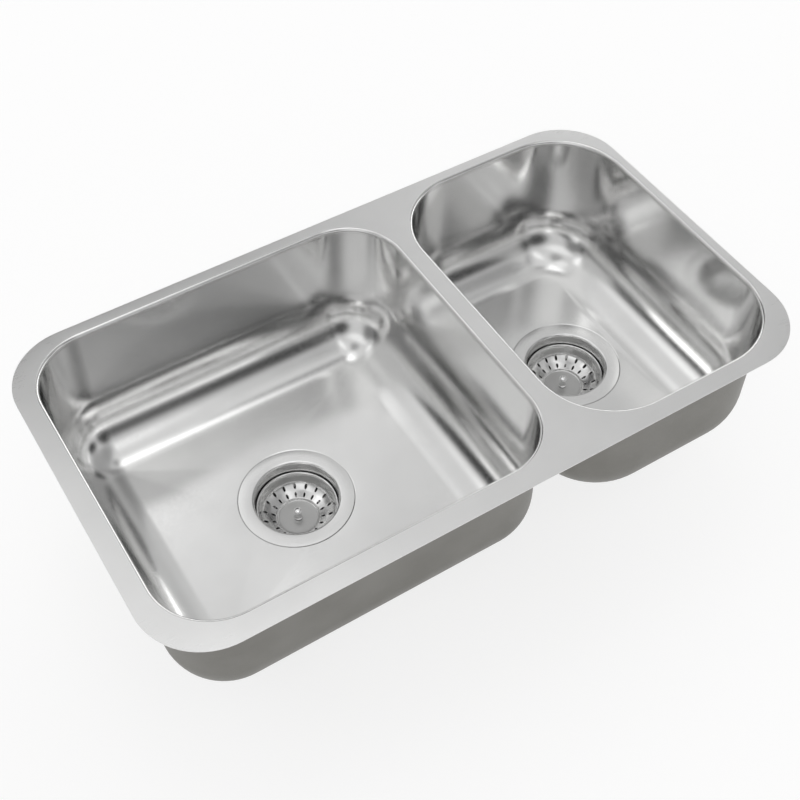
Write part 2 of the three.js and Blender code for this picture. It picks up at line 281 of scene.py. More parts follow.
# %% [markdown]
# ## Finishes
#
# The same steel has three faces here. The deck is satin, the inside of the bowls is polished,
# and the outside is a dull grey, a little warm and much darker than the steel on top. A picture
# of steel wrapped over the mesh would show the same scratches everywhere. Noise on the object's
# own coordinates has no seams, and each finish mixes three layers of it: slow waves, which bend
# the mirrored room as real sheet does, a fine grain, and patches of slightly other tint.

# %% Finish helpers
NOISE_RANGE = (0.3, 0.7)  # nearly all of a noise lies between these
EDGE_RANGE = (0.50, 0.56)  # pointiness of flat ground and of a sharp outer edge
STEEL_PATCH = 0.05
SOFT_PATCH = 0.02
SOFT_WEAR = 0.4


def noise(tree, size, detail=2.0, stretch=(1, 1, 1)):
    """Noise with features of about `size` metres, drawn out along an axis where stretch is > 1."""
    place = tree.nodes.new("ShaderNodeTexCoord")
    turn = tree.nodes.new("ShaderNodeMapping")
    turn.inputs["Scale"].default_value = tuple(1 / s for s in stretch)
    cloud = tree.nodes.new("ShaderNodeTexNoise")
    cloud.inputs["Scale"].default_value = 1 / size
    cloud.inputs["Detail"].default_value = detail
    link(tree, place.outputs["Object"], turn.inputs["Vector"])
    link(tree, turn.outputs["Vector"], cloud.inputs["Vector"])
    return cloud.outputs["Fac"]


def bump(tree, height, depth, under=None):
    """Turns a height from 0 to 1 into relief `depth` metres deep, on top of another relief."""
    node = tree.nodes.new("ShaderNodeBump")
    node.inputs["Distance"].default_value = depth
    link(tree, height, node.inputs["Height"])
    if under is not None:
        link(tree, under, node.inputs["Normal"])
    return node.outputs["Normal"]


def new_finish(name):
    """An empty finish: its material, its node tree and its shader."""
    material = bpy.data.materials.new(name)
    material.use_nodes = True
    return material, material.node_tree, material.node_tree.nodes["Principled BSDF"]


def edges(tree):
    """1 on sharp outer edges and 0 on flat ground."""
    shape = tree.nodes.new("ShaderNodeNewGeometry")
    return remap(tree, shape.outputs["Pointiness"], *EDGE_RANGE)


def steel(name, dark, light, gloss, grain, stretch, waves, wear=0.5):
    """A metal. gloss is its smoothest and roughest roughness, grain and waves are each
    (size, depth) of relief, and wear is how much brighter and smoother its edges are."""
    material, tree, shader = new_finish(name)
    shader.inputs["Metallic"].default_value = 1.0
    patches = noise(tree, STEEL_PATCH, 4)
    worn = sum_of(tree, "MULTIPLY", edges(tree), wear)
    tint = mix(tree, remap(tree, patches, *NOISE_RANGE), dark, light)
    link(tree, mix(tree, worn, tint, light), shader.inputs["Base Color"])
    streaks = noise(tree, grain[0], 3, stretch)
    rough = remap(tree, streaks, *NOISE_RANGE, *gloss)
    polish = sum_of(tree, "MULTIPLY", worn, gloss[0] / 2)
    link(tree, sum_of(tree, "SUBTRACT", rough, polish), shader.inputs["Roughness"])
    sheet = bump(tree, noise(tree, waves[0], 1), waves[1])
    link(tree, bump(tree, streaks, grain[1], sheet), shader.inputs["Normal"])
    return material


def dull(name, dark, light, gloss, grain):
    """Rubber, plastic or fibre: two close tints in patches, with a fine grain."""
    material, tree, shader = new_finish(name)
    patches = noise(tree, SOFT_PATCH, 3)
    tint = mix(tree, remap(tree, patches, *NOISE_RANGE), dark, light)
    worn = sum_of(tree, "MULTIPLY", edges(tree), SOFT_WEAR)
    paler = tuple(min(1.0, c * 1.6 + 0.01) for c in light)
    link(tree, mix(tree, worn, tint, paler), shader.inputs["Base Color"])
    fine = noise(tree, grain[0], 3)
    link(tree, remap(tree, fine, *NOISE_RANGE, *gloss), shader.inputs["Roughness"])
    link(tree, bump(tree, fine, grain[1]), shader.inputs["Normal"])
    return material


# %% Steel finishes
ALONG_X = (40, 1, 1)
EVEN = (1, 1, 1)

deck_satin = steel(
    "deck_satin", (0.79, 0.79, 0.785), (0.83, 0.83, 0.825), (0.30, 0.36),
    (0.5 * MM, 0.001 * MM), ALONG_X, (0.15, 0.10 * MM))
bowl_polish = steel(
    "bowl_polish", (0.79, 0.79, 0.785), (0.83, 0.83, 0.825), (0.16, 0.20),
    (3.0 * MM, 0.0004 * MM), EVEN, (0.09, 0.30 * MM))
dark_outside = steel(
    "dark_outside", (0.20, 0.195, 0.18), (0.24, 0.235, 0.22), (0.45, 0.55),
    (0.8 * MM, 0.01 * MM), EVEN, (0.12, 0.4 * MM), wear=0.2)
strainer_polish = steel(
    "strainer_polish", (0.78, 0.78, 0.775), (0.84, 0.84, 0.835), (0.18, 0.26),
    (0.4 * MM, 0.002 * MM), EVEN, (0.02, 0.02 * MM))
spun_outside = steel(
    "spun_outside", (0.42, 0.42, 0.415), (0.50, 0.50, 0.495), (0.36, 0.46),
    (0.4 * MM, 0.004 * MM), EVEN, (0.02, 0.03 * MM))
basket_bright = steel(
    "basket_bright", (0.80, 0.80, 0.795), (0.86, 0.86, 0.855), (0.16, 0.24),
    (0.3 * MM, 0.001 * MM), EVEN, (0.012, 0.02 * MM))
disc_satin = steel(
    "disc_satin", (0.46, 0.46, 0.455), (0.52, 0.52, 0.515), (0.36, 0.44),
    (0.3 * MM, 0.002 * MM), EVEN, (0.012, 0.01 * MM))
knob_mirror = steel(
    "knob_mirror", (0.84, 0.84, 0.84), (0.88, 0.88, 0.88), (0.08, 0.14),
    (0.3 * MM, 0.001 * MM), EVEN, (0.01, 0.01 * MM))
cast_nut = steel(
    "cast_nut", (0.42, 0.415, 0.40), (0.52, 0.51, 0.49), (0.42, 0.55),
    (0.7 * MM, 0.03 * MM), EVEN, (0.01, 0.05 * MM), wear=0.8)
plated_nut = steel(
    "plated_nut", (0.48, 0.48, 0.47), (0.56, 0.56, 0.55), (0.28, 0.38),
    (0.6 * MM, 0.01 * MM), EVEN, (0.012, 0.03 * MM), wear=0.8)

# %% Soft finishes
black_rubber = dull(
    "black_rubber", (0.012, 0.012, 0.013), (0.022, 0.022, 0.024), (0.55, 0.75),
    (0.4 * MM, 0.02 * MM))
pad_rubber = dull(
    "pad_rubber", (0.030, 0.031, 0.034), (0.050, 0.051, 0.055), (0.75, 0.92),
    (0.9 * MM, 0.12 * MM))
seal_foam = dull(
    "seal_foam", (0.62, 0.60, 0.54), (0.74, 0.72, 0.66), (0.7, 0.9), (0.5 * MM, 0.06 * MM))
fibre = dull(
    "fibre", (0.36, 0.25, 0.13), (0.50, 0.37, 0.21), (0.8, 0.95), (0.35 * MM, 0.05 * MM))
white_plastic = dull(
    "white_plastic", (0.74, 0.73, 0.70), (0.80, 0.79, 0.76), (0.35, 0.5),
    (0.8 * MM, 0.01 * MM))
grey_plastic = dull(
    "grey_plastic", (0.24, 0.25, 0.255), (0.30, 0.31, 0.315), (0.4, 0.55),
    (0.8 * MM, 0.01 * MM))

# %% [markdown]
# ## Tools of the bench
#
# Every piece starts as a primitive and is shaped in edit mode. These small helpers enter edit
# mode on one piece, pick its faces or edges by where they are, and tidy a finished mesh.

# %% Edit helpers
HAIR = 0.01 * MM  # two lengths that differ by less are the same
DOUBLE = 0.001 * MM  # two points that are nearer to each other are merged
FOLD = math.radians(60)  # edges of sheet and rubber that fold more than this are rounded


def only(piece):
    """Makes one piece the only one selected."""
    bpy.ops.object.select_all(action="DESELECT")
    bpy.context.view_layer.objects.active = piece
    piece.select_set(True)


def begin(piece):
    """Opens one piece for editing."""
    only(piece)
    bpy.ops.object.mode_set(mode="EDIT")


def end():
    """Closes the piece that is being edited."""
    bpy.ops.object.mode_set(mode="OBJECT")


def middle(part):
    """The middle of an edge or a face."""
    return sum((v.co for v in part.verts), Vector()) / len(part.verts)


def choose(kind, rule):
    """Selects the edges (EDGE) or faces (FACE) for which the rule holds, and counts them."""
    bpy.ops.mesh.select_mode(type=kind)
    bpy.ops.mesh.select_all(action="DESELECT")
    mesh = bmesh.from_edit_mesh(bpy.context.edit_object.data)
    parts = mesh.edges if kind == "EDGE" else mesh.faces
    chosen = [part for part in parts if rule(part)]
    for part in chosen:
        part.select_set(True)
    bmesh.update_edit_mesh(bpy.context.edit_object.data)
    return len(chosen)


def near(value, target):
    """Whether two lengths are the same, within a hair."""
    return abs(value - target) < HAIR


def upright(edge):
    """Whether an edge stands straight up."""
    a, b = edge.verts
    return near(a.co.x, b.co.x) and near(a.co.y, b.co.y)


def modify(piece, kind, **settings):
    """Adds a modifier, sets it up and applies it."""
    only(piece)
    bpy.ops.object.modifier_add(type=kind)
    modifier = piece.modifiers[-1]
    for key, value in settings.items():
        setattr(modifier, key, value)
    bpy.ops.object.modifier_apply(modifier=modifier.name)


def clean():
    """Merges doubles and turns every face outwards, in edit mode."""
    bpy.ops.mesh.select_all(action="SELECT")
    bpy.ops.mesh.remove_doubles(threshold=DOUBLE)
    bpy.ops.mesh.normals_make_consistent(inside=False)


def place(piece, body, slot, *nodes, finish=None, sharp=35):
    """Gives a finished piece its finish, shading and body, and hides the nodes that it stands for.
    The slot is not used. Edges that fold more than `sharp` degrees stay crisp."""
    if finish:
        piece.data.materials.clear()
        piece.data.materials.append(finish)
    only(piece)
    bpy.ops.object.shade_smooth_by_angle(angle=math.radians(sharp))
    modify(piece, "WEIGHTED_NORMAL", keep_sharp=True, weight=50)
    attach(piece, body)
    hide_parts(*nodes)
    print(piece.name, len(piece.data.polygons), "faces")


# %% [markdown]
# Two kinds of start serve for nearly every piece: a block, and a shape turned on a lathe. A
# turned shape could be a cylinder that is cut and bevelled many times. Drawing half of its
# section point by point and spinning the line round the axis gives every step and rounding at
# once, as a lathe does.

# %% Making blocks and turned shapes


def block(name, low, high):
    """A block between two corners, with its place in its mesh."""
    low, high = Vector(low), Vector(high)
    bpy.ops.object.select_all(action="DESELECT")
    bpy.ops.mesh.primitive_cube_add(size=1, location=(low + high) / 2, scale=high - low)
    bpy.ops.object.transform_apply(location=True, rotation=True, scale=True)
    bpy.context.object.name = name
    return bpy.context.object


def rounded_block(name, low, high, corner, steps):
    """A block with its four upright edges rounded."""
    piece = block(name, low, high)
    begin(piece)
    choose("EDGE", upright)
    bpy.ops.mesh.bevel(offset=corner, segments=steps, profile=0.5, clamp_overlap=False)
    end()
    return piece


def arc(radius_at, height_at, radius, start, stop, steps=5):
    """Profile points on an arc. 0 degrees points outwards and 90 upwards."""
    angles = [math.radians(start + (stop - start) * i / steps) for i in range(steps + 1)]
    return [(radius_at + radius * math.cos(a), height_at + radius * math.sin(a))
            for a in angles]


def draw_profile(name, profile, centre, heading=0.0):
    """Draws a line through (radius, height) points, in millimetres from centre."""
    bpy.ops.object.select_all(action="DESELECT")
    bpy.ops.mesh.primitive_plane_add(size=MM, location=centre)
    piece = bpy.context.object
    piece.name = name
    way = Vector((math.cos(heading), math.sin(heading), 0))
    begin(piece)
    bpy.ops.mesh.select_mode(type="VERT")
    bpy.ops.mesh.merge(type="CENTER")
    at = Vector()
    for i, (radius, height) in enumerate(profile):
        goal = (way * radius + Vector((0, 0, height))) * MM
        if i == 0:
            bpy.ops.transform.translate(value=goal)
        else:
            bpy.ops.mesh.extrude_region_move(TRANSFORM_OT_translate={"value": goal - at})
        at = goal
    bpy.ops.mesh.select_all(action="SELECT")
    bpy.ops.mesh.remove_doubles(threshold=DOUBLE)
    return piece


def turned(name, profile, centre, steps=64, heading=0.0):
    """A profile, in millimetres from centre, spun into a round piece."""
    piece = draw_profile(name, profile, centre, heading)
    bpy.ops.mesh.spin(steps=steps, angle=2 * math.pi, center=centre, axis=(0, 0, 1))
    clean()
    end()
    bpy.ops.object.transform_apply(location=True, rotation=True, scale=True)
    return piece


def join(*pieces):
    """Joins pieces into the first."""
    only(pieces[0])
    for piece in pieces[1:]:
        piece.select_set(True)
    bpy.ops.object.join()
    return pieces[0]


def copies_around(piece, centre, count):
    """A piece and its copies, each with its own mesh, evenly spaced round centre."""
    pieces = [piece]
    for i in range(1, count):
        only(piece)
        bpy.ops.object.duplicate(linked=False)
        copy = bpy.context.object
        begin(copy)
        bpy.ops.mesh.select_all(action="SELECT")
        bpy.ops.transform.rotate(
            value=2 * math.pi * i / count, orient_axis="Z", center_override=centre)
        end()
        pieces.append(copy)
    return pieces


# %% [markdown]
# ## Bowls
#
# A real bowl is drawn from one flat sheet by a press, which leaves upright corners of a large
# radius, a wide fillet between wall and floor, and a floor that falls a little towards the
# drain. By hand it could be a subdivided cage, but then the corner radii would only be
# roughly right. Here a block is rounded by the bevel tool with the real radii, its floor is
# bridged to the round recess of the drain, and Solidify gives the sheet its thickness. The
# fillet stops one step before it is level, so that it runs into the falling floor without a
# crease, which polished steel would show as a bright line.

# %% Bowl sizes
SHEET = 1.0 * MM
LIP_DEPTH = 5.0 * MM  # where the deck's rolled lip ends and the bowl's wall begins
FILLET = 58 * MM
FLOOR_FALL = {"large": 2.5 * MM, "small": 1.0 * MM}  # from the fillet down to the recess
CORNER_STEPS = 16
FILLET_STEPS = 36  # the last one would end level and is left out
SIDE_CUTS = 11
FLOOR_RINGS = 7  # edge loops between the fillet and the recess
CORNERS = {"large": 59 * MM, "small": 75 * MM}
RECESS = [  # (radius, depth) in millimetres, from the floor down to the drain hole's edge
    (59.5, 0), (58.9, 0.08), (58.4, 0.25), (58.17, 0.5), (58.15, 2.5), (57.9, 3.0),
    (57.3, 3.1), (45.5, 3.1), (44.5, 3.6),
]


def drain_centre(side):
    """Where the strainer's axis meets the top of its flange."""
    low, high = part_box(f"{side}_strainer_body")
    return Vector(((low.x + high.x) / 2, (low.y + high.y) / 2, high.z))


def bowl_inside(side):
    """Lowest and highest corner of the space inside a bowl's walls."""
    low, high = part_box(f"{side}_bowl")
    skin = Vector((SHEET, SHEET, 0))
    low, high = low + skin, high - skin
    return Vector((low.x, low.y, drain_centre(side).z)), Vector((high.x, high.y, -LIP_DEPTH))


def floor_edge(side):
    """The height at which the fillet runs into the falling floor."""
    step = math.pi / 2 / FILLET_STEPS
    return drain_centre(side).z + FLOOR_FALL[side] + FILLET * (1 - math.cos(step))


for side in SIDES:
    low, high = bowl_inside(side)
    print(side, "bowl inside", [round(v, 4) for v in high - low])

# %% Draw the bowls


def draw_walls(side):
    """A rounded basin that is open at the top and, inside the fillet, at the floor."""
    low, high = bowl_inside(side)
    floor_z = low.z + FLOOR_FALL[side]
    bowl = rounded_block(
        f"{side}_bowl_shell", (low.x, low.y, floor_z), high, CORNERS[side], CORNER_STEPS)
    begin(bowl)
    choose("FACE", lambda f: near(middle(f).z, high.z))
    bpy.ops.mesh.delete(type="FACE")
    choose("EDGE", lambda e: not upright(e) and e.calc_length() > FILLET)
    bpy.ops.mesh.subdivide(number_cuts=SIDE_CUTS)
    choose("EDGE", lambda e: near(middle(e).z, floor_z))
    bpy.ops.mesh.bevel(offset=FILLET, segments=FILLET_STEPS, profile=0.5, clamp_overlap=False)
    edge_z = floor_edge(side)
    choose("FACE", lambda f: middle(f).z < edge_z - HAIR)
    bpy.ops.mesh.delete(type="FACE")
    return bowl


def bridge_to_drain(side):
    """Joins the floor's edge to a circle round the drain, and draws the recess down from it."""
    centre = drain_centre(side)
    edge_z = floor_edge(side)
    first = RECESS[0][0] * MM
    count = choose("EDGE", lambda e: e.is_boundary and near(middle(e).z, edge_z))
    bpy.ops.mesh.select_all(action="DESELECT")
    bpy.ops.mesh.primitive_circle_add(
        vertices=count, radius=first, location=centre, rotation=(0, 0, math.pi / count))
    choose("EDGE", lambda e: len(e.link_faces) < 2 and middle(e).z < edge_z + MM)
    bpy.ops.mesh.bridge_edge_loops(number_cuts=FLOOR_RINGS, interpolation="LINEAR")
    choose("EDGE", lambda e: e.is_boundary and near(middle(e).z, centre.z))
    for (r0, d0), (r1, d1) in zip(RECESS, RECESS[1:]):
        bpy.ops.mesh.extrude_edges_move()
        bpy.ops.transform.resize(value=(r1 / r0, r1 / r0, 1), center_override=centre)
        bpy.ops.transform.translate(value=(0, 0, (d0 - d1) * MM))


def make_bowl(side):
    """One bowl, polished inside and dull outside."""
    bowl = draw_walls(side)
    bridge_to_drain(side)
    clean()
    bpy.ops.mesh.normals_make_consistent(inside=True)
    end()
    bowl.data.materials.append(bowl_polish)
    bowl.data.materials.append(dark_outside)
    modify(bowl, "SOLIDIFY", thickness=SHEET, offset=-1, use_even_offset=True,
           material_offset=1)
    place(bowl, "sink", "bowl_steel", f"{side}_bowl", sharp=40)


for side in SIDES:
    make_bowl(side)

# %% [markdown]
# ## Deck
#
# The deck is one flat plate. Round each opening its edge is rolled down, and the bowl is
# welded to that lip and polished until no seam shows. A boolean cut would leave a sharp hole.
# Instead the top face of the opening is inset step by step along a quarter circle, which
# draws the lip exactly, and the flat between the outline and the two lips is filled.

# %% Deck sizes
DECK_SHEET = 1.2 * MM
DECK_CORNER = 65 * MM
DECK_EDGE = 0.4 * MM  # rounding of the cut edge
LIP_RADIUS = 3.0 * MM
LIP_STEPS = 6
UNDER_LIP = 10 * MM  # height of the blocks of which only the top face is kept
FINISH_ORDER = (deck_satin, bowl_polish, dark_outside)  # deck top, lips and edges, underside

# %% Draw the deck


def keep_top(piece):
    """Leaves only the faces at deck height, in edit mode."""
    begin(piece)
    choose("FACE", lambda f: not near(middle(f).z, 0))
    bpy.ops.mesh.delete(type="FACE")
    bpy.ops.mesh.select_all(action="SELECT")


def draw_lip(side):
    """The rolled edge of one opening, from the flat deck down to the bowl."""
    low, high = bowl_inside(side)
    grown = Vector((LIP_RADIUS, LIP_RADIUS, 0))
    lip = rounded_block(
        f"{side}_lip", Vector((low.x, low.y, -UNDER_LIP)) - grown,
        Vector((high.x, high.y, 0)) + grown, CORNERS[side] + LIP_RADIUS, CORNER_STEPS)
    keep_top(lip)
    for i in range(LIP_STEPS):
        a, b = (math.pi / 2 * step / LIP_STEPS for step in (i, i + 1))
        bpy.ops.mesh.inset(
            thickness=LIP_RADIUS * (math.sin(b) - math.sin(a)),
            depth=LIP_RADIUS * (math.cos(b) - math.cos(a)))
    drop = (0, 0, LIP_RADIUS - LIP_DEPTH)
    bpy.ops.mesh.extrude_region_move(TRANSFORM_OT_translate={"value": drop})
    bpy.ops.mesh.delete(type="FACE")
    end()
    return lip


def make_deck():
    """The deck with its two rolled lips, satin on top."""
    low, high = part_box("deck_flange")
    deck = rounded_block(
        "deck_plate", (low.x, low.y, -UNDER_LIP), (high.x, high.y, 0), DECK_CORNER,
        CORNER_STEPS)
    keep_top(deck)
    end()
    join(deck, *(draw_lip(side) for side in SIDES))
    begin(deck)
    choose("FACE", lambda f: len(f.verts) > 4)
    bpy.ops.mesh.delete(type="ONLY_FACE")
    choose("EDGE", lambda e: near(middle(e).z, 0))
    bpy.ops.mesh.fill(use_beauty=True)
    clean()
    mesh = bmesh.from_edit_mesh(deck.data)
    if sum(f.normal.z * f.calc_area() for f in mesh.faces) < 0:
        bpy.ops.mesh.flip_normals()
    end()
    for finish in FINISH_ORDER:
        deck.data.materials.append(finish)
    for face in deck.data.polygons:
        face.material_index = 0 if near(face.center.z, 0) else 1
    modify(deck, "SOLIDIFY", thickness=DECK_SHEET, offset=-1, use_even_offset=True)
    for face in deck.data.polygons:
        if face.normal.z < -0.5:
            face.material_index = 2
    modify(deck, "BEVEL", width=DECK_EDGE, segments=2, limit_method="ANGLE",
           angle_limit=FOLD)
    place(deck, "sink", "deck_steel", "deck_flange", sharp=40)


make_deck()

# %% [markdown]
# ## Sound pads
#
# Rubber pads glued under the floors keep a running tap from drumming. The rubber is soft, so
# a pad follows the floor's fall. A stiff block would touch the floor along one line only. So
# the pad starts as a flat sheet with rounded corners, is cut into cells so that it can bend,
# is pressed up against the bowl by Shrinkwrap, and gets its thickness downwards. Inset and a
# small step give the shallow panel inside a raised border.

# %% Sound pads
PAD_CORNER = 8 * MM
PAD_CORNER_STEPS = 6
PAD_CELL = 11 * MM
PAD_BORDER = 5 * MM
PAD_PANEL = 0.6 * MM
PAD_EDGE = 0.5 * MM


def cut_into_cells(low, high):
    """Cuts the open piece across X and Y into cells of about PAD_CELL."""
    for axis in (0, 1):
        count = round((high[axis] - low[axis]) / PAD_CELL)
        across = Vector((1 - axis, axis, 0))
        for i in range(1, count):
            bpy.ops.mesh.select_all(action="SELECT")
            bpy.ops.mesh.bisect(plane_co=low + (high - low) * i / count, plane_no=across)


def make_pad(side, half):
    """One pad, pressed against its bowl from below."""
    node = f"{side}_sound_pad_{half}"
    low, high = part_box(node)
    pad = rounded_block(f"{node}_moulded", low, high, PAD_CORNER, PAD_CORNER_STEPS)
    begin(pad)
    choose("FACE", lambda f: not near(middle(f).z, high.z))
    bpy.ops.mesh.delete(type="FACE")
    cut_into_cells(low, high)
    end()
    modify(pad, "SHRINKWRAP", target=bpy.data.objects[f"{side}_bowl_shell"],
           wrap_method="PROJECT", use_project_z=True)
    modify(pad, "SOLIDIFY", thickness=high.z - low.z, offset=-1, use_even_offset=True)
    begin(pad)
    choose("FACE", lambda f: f.normal.z < -0.7)
    bpy.ops.mesh.inset(thickness=PAD_BORDER, depth=0)
    bpy.ops.mesh.inset(thickness=PAD_PANEL, depth=-PAD_PANEL)
    end()
    modify(pad, "BEVEL", width=PAD_EDGE, segments=2, limit_method="ANGLE",
           angle_limit=FOLD)
    place(pad, "sink", "pad_rubber", node, finish=pad_rubber)


for side in SIDES:
    for half in "ab":
        make_pad(side, half)

# %% [markdown]
# ## Strainer body
#
# The strainer is turned: a polished flange that lies in the floor's recess, a threaded neck
# through the hole, a cup that narrows to the seat of the stopper, and a threaded outlet with a
# small spider that guides the stem. One profile spun about the drain's axis gives all of it
# but the threads and the spider. The heights are in millimetres below the flange. Only the
# flange and the inside are polished. A polished outside would mirror the pale floor and
# vanish against it, so the outside is satin, as it leaves the lathe.

# %% Strainer profile
NECK_INNER = 42.2
NECK_ROOT = 43.3
NECK_CREST = 43.9
OUTLET_INNER = 19.5
OUTLET_ROOT = 23.3
OUTLET_CREST = 23.9
OUTLET_END = -65.4
SEAT = -41.4

BODY_PROFILE = [
    *arc(57.95, -0.35, 0.15, -90, 90, 6),
    (55.0, -0.08), (51.5, 0.0), (47.5, -0.10),
    *arc(45.0, -3.0, 2.8, 90, 180, 8),
    (NECK_INNER, -25.5),
    *arc(39.2, -25.5, 3.0, 0, -42, 4)[1:],
    (31.0, -39.4), (30.0, -40.7), (28.6, SEAT),
    (21.6, SEAT), (20.4, SEAT - 0.3), (OUTLET_INNER, SEAT - 1.2),
    (OUTLET_INNER, OUTLET_END + 0.5), (OUTLET_INNER + 0.5, OUTLET_END),
    (OUTLET_ROOT - 0.4, OUTLET_END), (OUTLET_ROOT, OUTLET_END + 0.5),
    (OUTLET_ROOT, -46.0), (OUTLET_CREST, -45.4),
    (24.5, -43.9), (26.0, -43.4), (30.4, -43.2), (31.4, -42.4),
    (43.2, -29.2), (NECK_CREST, -27.8), (NECK_CREST, -26.4), (NECK_ROOT, -25.8),
    (NECK_ROOT, -9.0), (NECK_CREST, -8.4), (NECK_CREST, -2.2), (44.4, -1.5),
    (57.1, -1.5), (57.95, -0.5),
]

# %% [markdown]
# A thread is a ridge that climbs as it turns. The Screw modifier does just that with a small
# closed section, and its two open ends are then filled.

# %% Threads
NECK_THREAD = (-24.9, -9.9, 2.1)  # from, to and pitch
OUTLET_THREAD = (-64.3, -46.9, 1.8)
THREAD_FOOT = 0.42  # half width of the ridge at its foot, in pitches
THREAD_TIP = 0.08  # half width at its tip, in pitches
THREAD_SUNK = 0.2  # how deep its foot stands in the wall
THREAD_STEPS = 48


def thread(name, root, crest, bottom, top, pitch, centre):
    """A helical ridge round centre, from bottom up to top, in millimetres."""
    foot, tip = pitch * THREAD_FOOT, pitch * THREAD_TIP
    section = [(root - THREAD_SUNK, bottom - foot), (crest, bottom - tip),
               (crest, bottom + tip), (root - THREAD_SUNK, bottom + foot)]
    ridge = draw_profile(name, [*section, section[0]], centre)
    end()
    modify(ridge, "SCREW", angle=2 * math.pi, screw_offset=pitch * MM,
           iterations=round((top - bottom) / pitch), steps=THREAD_STEPS,
           render_steps=THREAD_STEPS)
    begin(ridge)
    bpy.ops.mesh.select_all(action="SELECT")
    bpy.ops.mesh.fill_holes(sides=8)
    clean()
    end()
    bpy.ops.object.transform_apply(location=True, rotation=True, scale=True)
    return ridge


# %% Spider
SPIDER_TOP = -55.4
SPIDER_LOW = -58.4
SPIDER_HOLE = 4.6
SPIDER_EDGE = 0.5
BOSS_RADIUS = 8.0
BOSS_STEPS = 40
BAR_HALF = 2.0
BAR_START = 1.0  # how far a bar begins inside the boss
BAR_END = 1.5  # how far it ends inside the outlet's wall
BAR_EDGE = 0.6 * MM
BARS = 4


def spider(centre):
    """A boss and four bars that end inside the outlet's wall."""
    low, top = SPIDER_LOW + SPIDER_EDGE, SPIDER_TOP - SPIDER_EDGE
    boss = turned("boss", [
        (SPIDER_HOLE, low), (SPIDER_HOLE + SPIDER_EDGE, SPIDER_LOW),
        (BOSS_RADIUS - SPIDER_EDGE, SPIDER_LOW), (BOSS_RADIUS, low),
        (BOSS_RADIUS, top), (BOSS_RADIUS - SPIDER_EDGE, SPIDER_TOP),
        (SPIDER_HOLE + SPIDER_EDGE, SPIDER_TOP), (SPIDER_HOLE, top),
        (SPIDER_HOLE, low),
    ], centre, BOSS_STEPS)
    bar = block(
        "bar",
        centre + Vector((BOSS_RADIUS - BAR_START, -BAR_HALF, low)) * MM,
        centre + Vector((OUTLET_INNER + BAR_END, BAR_HALF, top)) * MM)
    modify(bar, "BEVEL", width=BAR_EDGE, segments=3)
    return [boss, *copies_around(bar, centre, BARS)]


# %% Strainer body
POLISH_DEPTH = 1.0 * MM  # how far down the flange's edge the polish goes
BODY_STEPS = 96


def is_outside(face, centre):
    """Whether a face of the strainer looks outwards or down, under the flange."""
    spot = face.center - centre
    away = Vector((spot.x, spot.y, 0)).normalized()
    under = spot.z < -POLISH_DEPTH and spot.xy.length > OUTLET_INNER * MM
    return under and (face.normal.dot(away) > 0 or face.normal.z < -0.5)


def make_body(side):
    """One strainer, polished inside and on its flange."""
    centre = drain_centre(side)
    body = turned(f"{side}_strainer_turned", BODY_PROFILE, centre, BODY_STEPS)
    neck = thread("neck_thread", NECK_ROOT, NECK_CREST, *NECK_THREAD, centre)
    outlet = thread("outlet_thread", OUTLET_ROOT, OUTLET_CREST, *OUTLET_THREAD, centre)
    join(body, neck, outlet, *spider(centre))
    body.data.materials.append(strainer_polish)
    body.data.materials.append(spun_outside)
    for face in body.data.polygons:
        face.material_index = int(is_outside(face, centre))
    place(body, "sink", "strainer_steel", f"{side}_strainer_body")


for side in SIDES:
    make_body(side)

# %% [markdown]
# ## Seals and washers
#
# Between flange, floor and nuts lie rings of foam, rubber, fibre and plastic. They are punched
# or moulded, so each is a flat ring with slightly rounded edges. Outer size and height come
# from the frame, and only the hole and the rounding are set here.

# %% Seals and washers
NECK_HOLE = 44.2
RINGS = [  # node, radius of the hole, rounding, finish, slot
    ("flange_seal", NECK_HOLE, 0.3, seal_foam, "seal_foam"),
    ("floor_gasket", NECK_HOLE, 0.9, black_rubber, "black_rubber"),
    ("friction_ring", NECK_HOLE, 0.15, fibre, "fibre"),
    ("tail_washer", 20.4, 0.4, white_plastic, "white_plastic"),
    ("backing_washer", 2.9, 0.3, plated_nut, "nut_metal"),
]


def ring_profile(inner, outer, low, high, rounding):
    """The section of a flat ring with rounded edges, in millimetres."""
    a, b = inner + rounding, outer - rounding
    c, d = low + rounding, high - rounding
    loop = [
        *arc(b, c, rounding, -90, 0, 3), *arc(b, d, rounding, 0, 90, 3),
        *arc(a, d, rounding, 90, 180, 3), *arc(a, c, rounding, 180, 270, 3),
    ]
    return [*loop, loop[0]]


def extent(node, centre):
    """Outer radius, bottom and top of a round node, in millimetres from centre."""
    low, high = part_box(node)
    return (high.x - low.x) / 2 / MM, (low.z - centre.z) / MM, (high.z - centre.z) / MM


def make_ring(side, name, inner, rounding, finish, slot):
    """One seal or washer. Only the backing washer rides on the basket."""
    node = f"{side}_{name}"
    centre = drain_centre(side)
    outer, bottom, top = extent(node, centre)
    ring = turned(f"{node}_ring", ring_profile(inner, outer, bottom, top, rounding), centre)
    body = f"{side}_basket_unit" if name == "backing_washer" else "sink"
    place(ring, body, slot, node, finish=finish)


for side in SIDES:
    for row in RINGS:
        make_ring(side, *row)

# %% [markdown]
# ## Locknut and coupling nut
#
# The locknut is cast: a thin ring, a threaded hub and four lugs to knock it tight with a
# hammer. The coupling nut that holds the tailpiece is an eight-sided casting. The lugs are
# one bevelled block and its copies. The octagon is bevelled before it is bored, so that the
# bevel never meets the bore.

# %% Locknut
LOCKNUT_WEB = 3.0
LOCKNUT_STEPS = 80
HUB_WALL = 3.0
HUB_FILLET = 1
LUGS = 4
LUG_HALF = 6.0
LUG_REACH = 5.0
LUG_EDGE = 1.2 * MM
NUT_EDGE = 0.8
BORE_EDGE = 0.4


